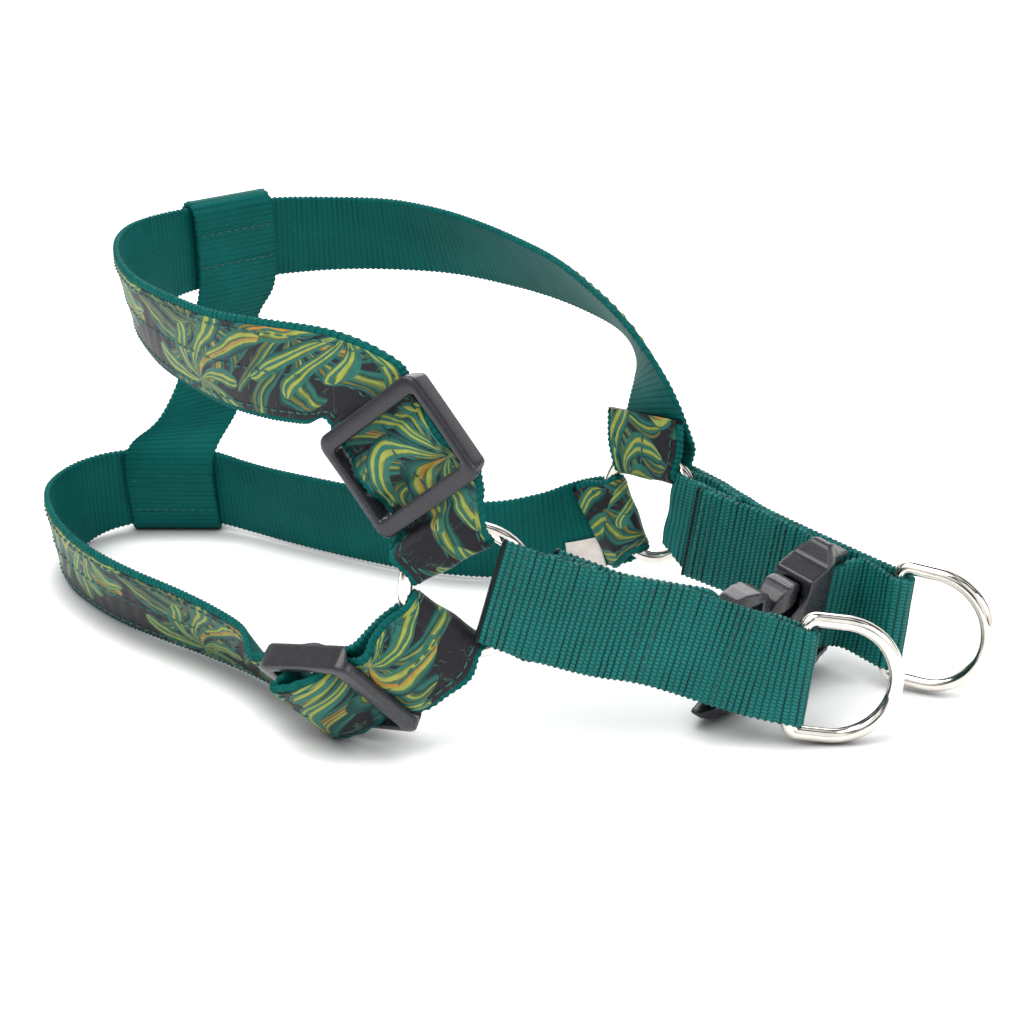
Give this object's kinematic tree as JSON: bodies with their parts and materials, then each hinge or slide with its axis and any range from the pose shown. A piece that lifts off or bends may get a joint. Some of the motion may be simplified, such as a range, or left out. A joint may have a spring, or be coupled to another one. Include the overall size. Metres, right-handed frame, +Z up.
{
  "type": "step-in dog harness",
  "caption": "Step-in harness: neck and girth loops joined by a chest strap, sliders, rings, lead tabs with D-rings and a side-release buckle.",
  "frame": {"origin": "centre of the footprint on the surface it lies on", "axes": "+Z up, +X along the longest extent, towards the lead rings; -Y towards the near lead tab"},
  "size_m": [0.2443, 0.1797, 0.0976],
  "materials": {
    "webbing": "ribbed nylon weave",
    "printed_ribbon": "leaf-printed woven ribbon",
    "thread": "polyester sewing thread",
    "label": "blank satin label",
    "nickel": "bright nickel plate",
    "plastic": "fine satin moulding"
  },
  "bodies": {
    "near_side": {"neck_webbing": "webbing", "neck_print_ribbon": "printed_ribbon", "girth_webbing": "webbing", "girth_print_ribbon": "printed_ribbon", "chest_strap": "webbing", "near_ring_loop": "webbing", "near_lead_tab": "webbing", "buckle_plug": "plastic", "near_tab_stitching": "thread", "chest_upper_stitching": "thread", "chest_lower_stitching": "thread"},
    "far_side": {"care_label": "label", "neck_webbing_far_end": "webbing", "neck_print_far_end": "printed_ribbon", "girth_webbing_far_end": "webbing", "girth_print_far_end": "printed_ribbon", "far_ring_loop": "webbing", "far_lead_tab": "webbing", "buckle_socket": "plastic", "far_tab_stitching": "thread"},
    "near_lead_d": {"near_d_ring": "nickel"},
    "far_lead_d": {"far_d_ring": "nickel"},
    "near_joining_ring": {"near_o_ring": "nickel"},
    "far_joining_ring": {"far_o_ring": "nickel"},
    "neck_adjuster": {"neck_slider": "plastic"},
    "girth_adjuster": {"girth_slider": "plastic"},
    "upper_arm": {"plug_upper_arm": "plastic"},
    "lower_arm": {"plug_lower_arm": "plastic"}
  },
  "joints": [
    {"name": "buckle_release", "type": "slide", "parent": "near_side", "child": "far_side", "axis": [0.6898, 0.7235, 0.0259], "range_m": [0, 0.018], "deforming": ["plug_upper_arm", "plug_lower_arm"]},
    {"name": "near_d_swing", "type": "hinge", "parent": "near_side", "child": "near_lead_d", "pos_m": [0.0718, -0.0705, 0.0176], "axis": [0.1306, 0.0603, 0.9896], "range_deg": [-75, 20]},
    {"name": "far_d_swing", "type": "hinge", "parent": "far_side", "child": "far_lead_d", "pos_m": [0.099, -0.0393, 0.0174], "axis": [0.1004, 0.0502, 0.9937], "range_deg": [-20, 75]},
    {"name": "near_ring_turn", "type": "hinge", "parent": "near_side", "child": "near_joining_ring", "pos_m": [-0.0044, -0.0715, 0.0397], "axis": [0.0509, -0.9901, 0.1309], "continuous": true},
    {"name": "far_ring_turn", "type": "hinge", "parent": "far_side", "child": "far_joining_ring", "pos_m": [0.0424, 0.0135, 0.027], "axis": [0.6732, 0.7355, -0.0761], "continuous": true},
    {"name": "neck_slider_shift", "type": "slide", "parent": "near_side", "child": "neck_adjuster", "axis": [-0.5704, 0.3102, 0.7605], "range_m": [0, 0.003]},
    {"name": "girth_slider_shift", "type": "slide", "parent": "near_side", "child": "girth_adjuster", "axis": [-0.7791, 0.5793, -0.2397], "range_m": [0, 0.003]},
    {"name": "upper_arm_pinch", "type": "hinge", "parent": "near_side", "child": "upper_arm", "pos_m": [0.06516, -0.05237, 0.02561], "axis": [-0.7155, 0.6759, 0.1769], "range_deg": [0, 14], "stiffness_Nm_per_rad": 0.3},
    {"name": "lower_arm_pinch", "type": "hinge", "parent": "near_side", "child": "lower_arm", "pos_m": [0.06362, -0.0504, 0.01184], "axis": [0.7155, -0.6759, -0.1769], "range_deg": [0, 14], "stiffness_Nm_per_rad": 0.3}
  ]
}
